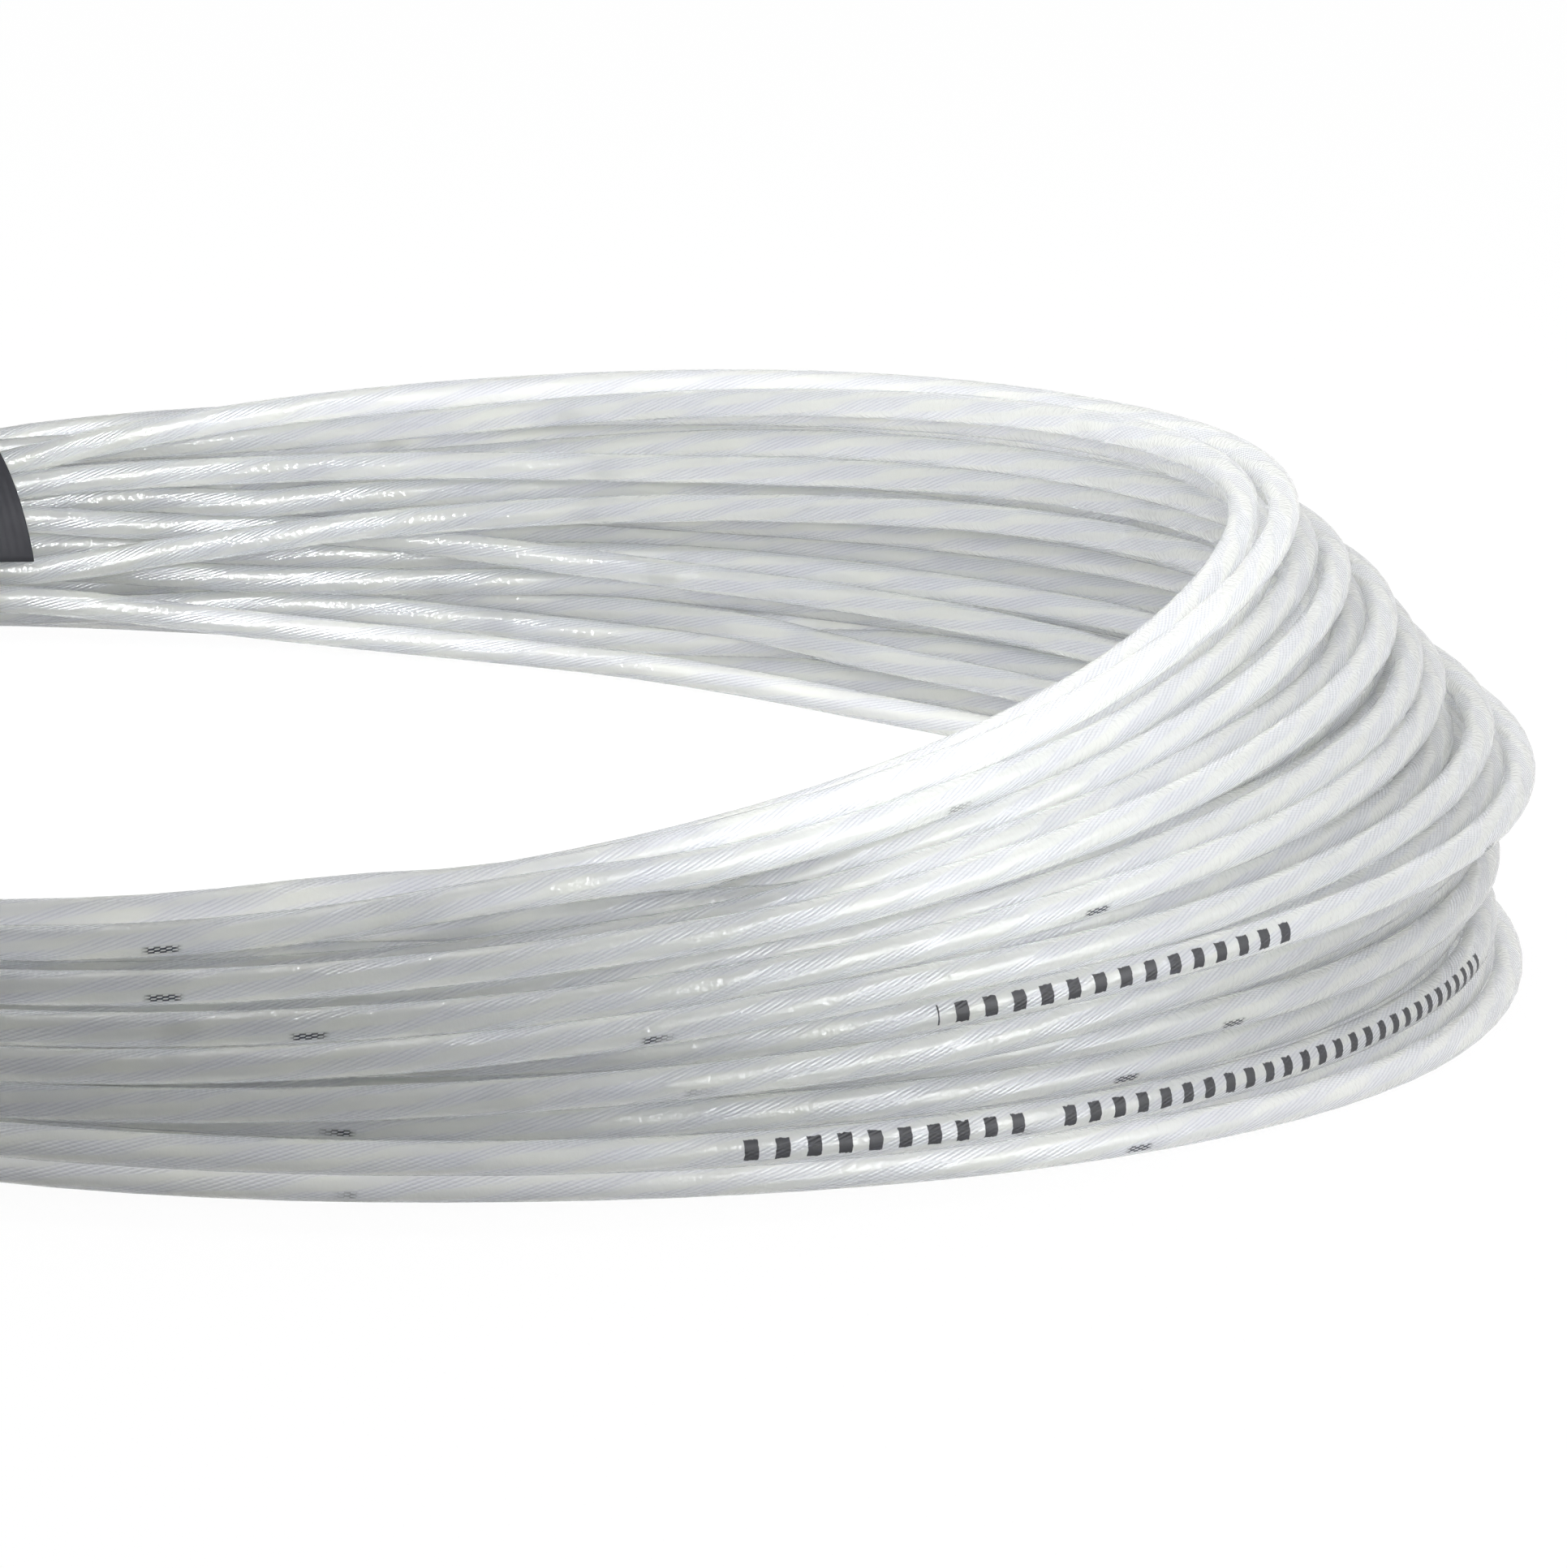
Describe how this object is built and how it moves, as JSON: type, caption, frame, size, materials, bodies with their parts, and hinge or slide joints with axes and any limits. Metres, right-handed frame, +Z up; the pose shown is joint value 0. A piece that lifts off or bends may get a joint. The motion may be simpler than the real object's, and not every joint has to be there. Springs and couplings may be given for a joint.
{
  "type": "coil of racket string",
  "caption": "Tied coil of clear-white racket string, its turns close at the ties and fanned open at one end, with one free end and black twist ties.",
  "frame": {"origin": "under the middle of the coil's box, on the surface it lies on", "axes": "+X to the open fan of turns, +Z up from the surface the coil lies on, +Y towards the rear tie"},
  "size_m": [0.1106, 0.1134, 0.0196],
  "materials": {
    "string": "clear-coated white nylon, with fine spiral wraps under the coat",
    "tie_plastic": "satin black",
    "tie_wire": "galvanised"
  },
  "bodies": {
    "root": {"turns_bottom": "string", "turns_lower": "string", "turns_middle": "string", "turns_upper": "string", "turns_top": "string", "string_start": "string", "string_tip": "string", "rear_tie_strip": "tie_plastic", "rear_tie_wire": "tie_wire", "front_tie_strip": "tie_plastic", "front_tie_wire": "tie_wire"}
  },
  "joints": []
}
